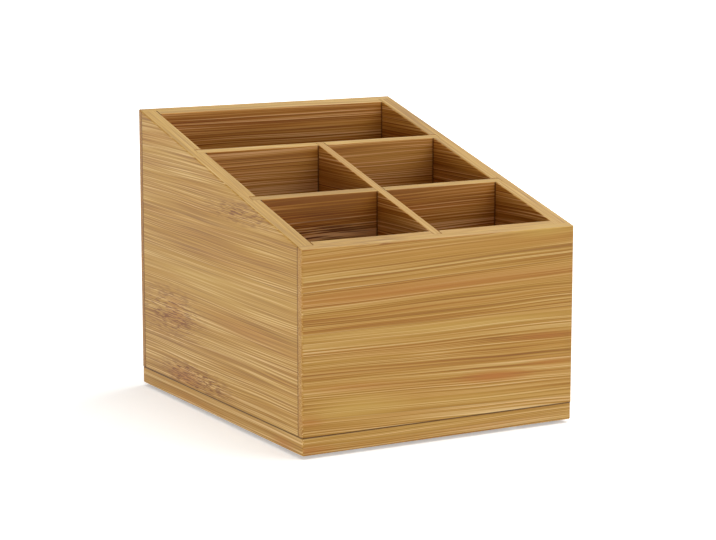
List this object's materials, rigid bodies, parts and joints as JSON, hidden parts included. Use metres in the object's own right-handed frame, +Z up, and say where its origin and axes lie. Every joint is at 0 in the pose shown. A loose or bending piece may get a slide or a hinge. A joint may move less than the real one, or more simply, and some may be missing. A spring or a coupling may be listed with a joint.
{
  "type": "desk organizer",
  "caption": "Open-topped bamboo desk organizer with a sloping top, tall at the back, divided by thin housed boards into open bins, on a separate base board.",
  "frame": {"origin": "on the desk plane, under the middle of the box's outline", "axes": "+X to the right along the front, +Y from the low front to the high back, +Z up"},
  "size_m": [0.14, 0.168, 0.1368],
  "materials": {
    "bamboo_walls": "carbonised laminated bamboo, sanded, clear satin lacquer",
    "bamboo_dividers": "thin carbonised bamboo board, sanded, clear satin lacquer",
    "bamboo_base": "carbonised laminated bamboo, sanded, clear satin lacquer",
    "screw_steel": "zinc-plated steel",
    "pad_rubber": "matte black foam rubber"
  },
  "bodies": {
    "root": {"base_panel": "bamboo_base", "front_panel": "bamboo_walls", "back_panel": "bamboo_walls", "left_side_panel": "bamboo_walls", "right_side_panel": "bamboo_walls", "rear_cross_divider": "bamboo_dividers", "front_cross_divider": "bamboo_dividers", "centre_divider": "bamboo_dividers", "base_screws": "screw_steel", "foot_pad_front_left": "pad_rubber", "foot_pad_front_right": "pad_rubber", "foot_pad_rear_left": "pad_rubber", "foot_pad_rear_right": "pad_rubber"}
  },
  "joints": []
}
